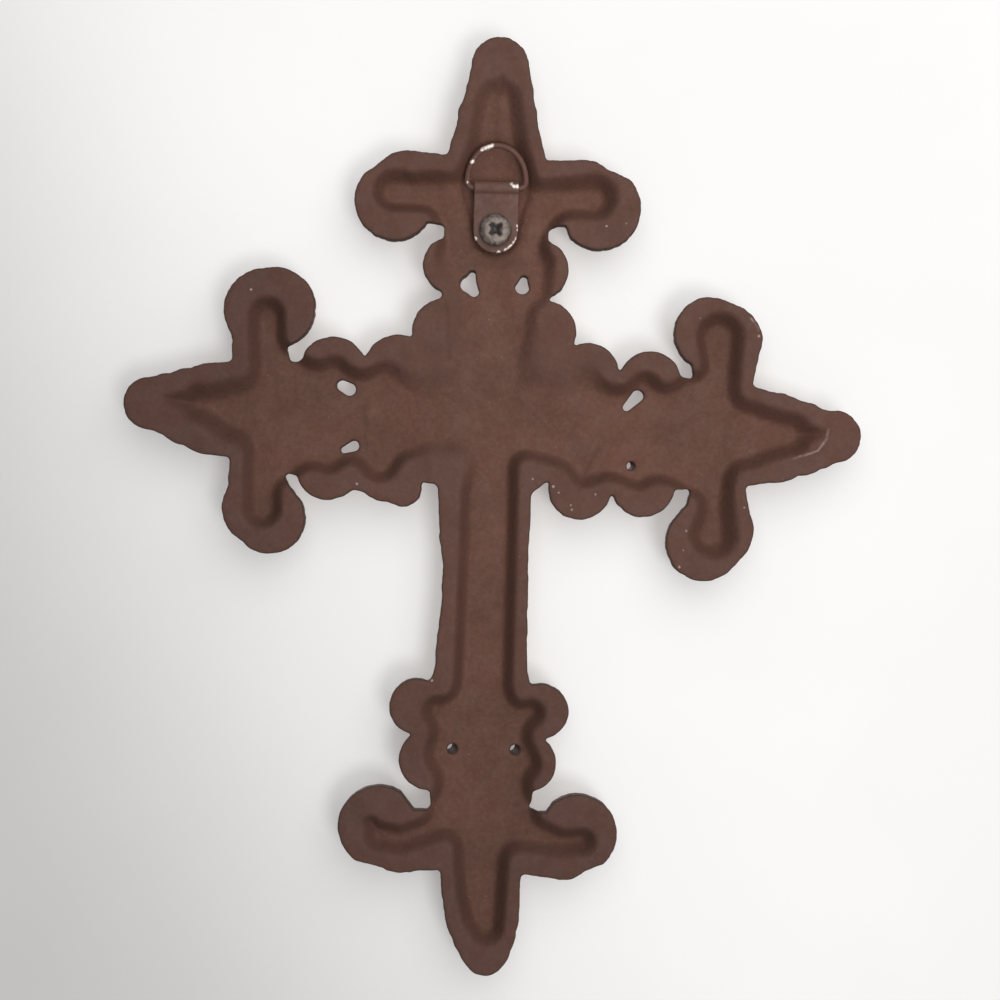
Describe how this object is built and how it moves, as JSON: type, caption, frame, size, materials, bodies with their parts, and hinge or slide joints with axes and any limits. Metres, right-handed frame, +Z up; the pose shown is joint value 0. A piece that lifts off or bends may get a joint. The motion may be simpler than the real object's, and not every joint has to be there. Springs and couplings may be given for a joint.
{
  "type": "cast iron wall cross",
  "caption": "Hollow-backed cast iron wall cross with lobed collars, scrolled finials and a wire ring on a screwed strap to hang it by.",
  "frame": {"origin": "where a nail carries the hanging ring: on the inner side of the ring's crown", "axes": "+Z up the cross, +Y out of its back towards the wall, its ornamented front faces -Y"},
  "size_m": [0.1733, 0.0107, 0.2206],
  "materials": {
    "painted_iron": "matt brown paint over sand-cast iron",
    "painted_strap": "the same brown paint, worn to bright steel at edges",
    "worn_ring": "brown paint rubbed through to bright wire in places",
    "bare_screw": "dull bare steel, dark in the cross recess"
  },
  "bodies": {
    "cross": {"cross_casting": "painted_iron", "hanger_strap": "painted_strap", "hanger_screw": "bare_screw"},
    "ring": {"hanger_ring": "worn_ring"}
  },
  "joints": [
    {"name": "ring_hinge", "type": "hinge", "parent": "cross", "child": "ring", "pos_m": [0, -0.0016, -0.00906], "axis": [-1, 0, 0], "range_deg": [-6, 145]}
  ]
}
